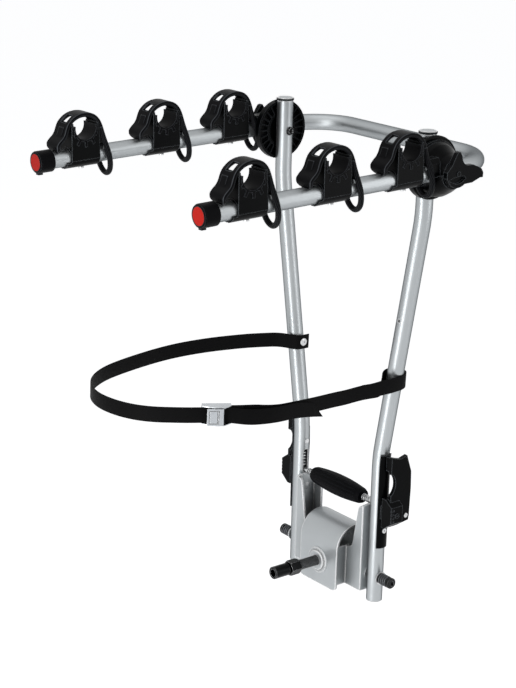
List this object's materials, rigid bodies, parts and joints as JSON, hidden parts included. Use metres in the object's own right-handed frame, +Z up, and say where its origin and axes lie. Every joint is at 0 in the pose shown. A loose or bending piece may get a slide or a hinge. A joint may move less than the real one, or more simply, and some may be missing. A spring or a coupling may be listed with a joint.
{
  "type": "tow ball bike rack",
  "caption": "Tow-bar bike rack: two bent silver posts on a ball clamp housing, fold-down arms with strapped cradles, a webbing strap and a release handle.",
  "frame": {"origin": "centre of the tow ball in the clamp, on the axis that the posts tilt about", "axes": "+Z up along the posts, -Y away from the car along the arms, +X to the right when the rack is seen from behind the car, looking forward"},
  "size_m": [0.5046, 0.6061, 0.8428],
  "materials": {
    "silver_paint": "satin silver powder coat",
    "zinc_steel": "bright zinc plate",
    "black_steel": "black zinc plate",
    "spring_steel": "plain spring wire",
    "buckle_zinc": "nickel plate",
    "black_plastic": "fine grained",
    "black_rubber": "matt",
    "red_plastic": "reflector red",
    "webbing": "woven webbing"
  },
  "bodies": {
    "base": {"base_housing": "silver_paint", "ball_seat": "zinc_steel", "threaded_boss": "zinc_steel", "pivot_bolts": "zinc_steel", "pivot_springs": "spring_steel", "pivot_washers": "zinc_steel", "pivot_nuts": "black_steel"},
    "jaw": {"clamp_jaw": "black_steel"},
    "spindle": {"spindle_screw": "black_steel", "spindle_collar": "black_steel"},
    "frame": {"post_right": "silver_paint", "post_left": "silver_paint", "post_caps": "black_plastic", "post_discs": "zinc_steel", "slot_springs": "zinc_steel", "spring_pins": "zinc_steel", "lamp_brackets": "black_plastic", "lamp_bracket_pivots": "black_plastic", "lamp_bracket_rivets": "zinc_steel", "hub_discs": "black_plastic", "hub_bolts": "black_steel", "hub_nuts": "zinc_steel", "webbing_long": "webbing", "webbing_short": "webbing", "strap_rivet": "zinc_steel", "buckle_frame": "buckle_zinc"},
    "handle": {"handle_rod": "zinc_steel", "handle_grip": "black_rubber", "handle_end_springs": "zinc_steel"},
    "arms": {"arm_bow": "silver_paint", "arm_caps": "black_rubber", "red_discs": "red_plastic", "hub_shell_right": "black_plastic", "hub_shell_left": "black_plastic", "hub_pins": "black_plastic", "cradle_screws": "zinc_steel", "cradle_inserts_left": "black_rubber", "cradle_inserts_right": "black_rubber", "strap_loops_left": "black_rubber", "strap_loops_right": "black_rubber", "cradle_1_left": "black_plastic", "cradle_1_right": "black_plastic", "cradle_2_left": "black_plastic", "cradle_2_right": "black_plastic", "cradle_3_left": "black_plastic", "cradle_3_right": "black_plastic"},
    "buckle_cam": {"buckle_lever": "buckle_zinc"},
    "lamp_lever_left": {"lamp_lever_left": "black_plastic", "lamp_screw_left": "zinc_steel"},
    "hub_lever_left": {"hub_lever_left": "black_plastic"},
    "cradle_strap_1_left": {"cradle_strap_1_left": "black_rubber"},
    "cradle_strap_2_left": {"cradle_strap_2_left": "black_rubber"},
    "cradle_strap_3_left": {"cradle_strap_3_left": "black_rubber"},
    "lamp_lever_right": {"lamp_lever_right": "black_plastic", "lamp_screw_right": "zinc_steel"},
    "hub_lever_right": {"hub_lever_right": "black_plastic"},
    "cradle_strap_1_right": {"cradle_strap_1_right": "black_rubber"},
    "cradle_strap_2_right": {"cradle_strap_2_right": "black_rubber"},
    "cradle_strap_3_right": {"cradle_strap_3_right": "black_rubber"}
  },
  "joints": [
    {"name": "frame_tilt", "type": "hinge", "parent": "base", "child": "frame", "pos_m": [0, 0, 0], "axis": [1, 0, 0], "range_deg": [0, 60]},
    {"name": "jaw_slide", "type": "slide", "parent": "base", "child": "jaw", "axis": [0, -1, 0], "range_m": [0, 0.006]},
    {"name": "spindle_turn", "type": "hinge", "parent": "jaw", "child": "spindle", "pos_m": [0, -0.029, 0.002], "axis": [0, -1, 0], "range_deg": [0, 1080.1]},
    {"name": "handle_lift", "type": "slide", "parent": "frame", "child": "handle", "axis": [0, 0, 1], "range_m": [0, 0.022], "stiffness_N_per_m": 400, "springref_m": -0.01, "deforming": ["slot_springs"]},
    {"name": "arms_fold", "type": "hinge", "parent": "frame", "child": "arms", "pos_m": [0, 0, 0.73], "axis": [1, 0, 0], "range_deg": [0, 88]},
    {"name": "buckle_open", "type": "hinge", "parent": "frame", "child": "buckle_cam", "pos_m": [0.10252, -0.33853, 0.35724], "axis": [0.0366, 0, 0.9993], "range_deg": [0, 100]},
    {"name": "lamp_lever_right_swing", "type": "hinge", "parent": "frame", "child": "lamp_lever_right", "pos_m": [0.1348, 0.004, 0.124], "axis": [-1, 0, 0], "range_deg": [0, 80]},
    {"name": "hub_lever_right_lift", "type": "hinge", "parent": "arms", "child": "hub_lever_right", "pos_m": [0.247, 0, 0.73], "axis": [1, 0, 0], "range_deg": [0, 30]},
    {"name": "cradle_strap_1_right_open", "type": "hinge", "parent": "arms", "child": "cradle_strap_1_right", "pos_m": [0.2182, -0.35414, 0.7465], "axis": [-1, 0, 0], "range_deg": [0, 70]},
    {"name": "cradle_strap_2_right_open", "type": "hinge", "parent": "arms", "child": "cradle_strap_2_right", "pos_m": [0.2182, -0.19622, 0.75119], "axis": [-1, 0, 0], "range_deg": [0, 70]},
    {"name": "cradle_strap_3_right_open", "type": "hinge", "parent": "arms", "child": "cradle_strap_3_right", "pos_m": [0.2182, -0.05128, 0.75549], "axis": [-1, 0, 0], "range_deg": [0, 70]},
    {"name": "lamp_lever_left_swing", "type": "hinge", "parent": "frame", "child": "lamp_lever_left", "pos_m": [-0.1348, 0.004, 0.124], "axis": [-1, 0, 0], "range_deg": [0, 80]},
    {"name": "hub_lever_left_lift", "type": "hinge", "parent": "arms", "child": "hub_lever_left", "pos_m": [-0.247, 0, 0.73], "axis": [1, 0, 0], "range_deg": [0, 30]},
    {"name": "cradle_strap_1_left_open", "type": "hinge", "parent": "arms", "child": "cradle_strap_1_left", "pos_m": [-0.2182, -0.35414, 0.7465], "axis": [-1, 0, 0], "range_deg": [0, 70]},
    {"name": "cradle_strap_2_left_open", "type": "hinge", "parent": "arms", "child": "cradle_strap_2_left", "pos_m": [-0.2182, -0.19622, 0.75119], "axis": [-1, 0, 0], "range_deg": [0, 70]},
    {"name": "cradle_strap_3_left_open", "type": "hinge", "parent": "arms", "child": "cradle_strap_3_left", "pos_m": [-0.2182, -0.05128, 0.75549], "axis": [-1, 0, 0], "range_deg": [0, 70]}
  ],
  "couplings": [
    {"joint": "spindle_turn", "follows": "jaw_slide", "rad_per_m": 3141.6}
  ]
}
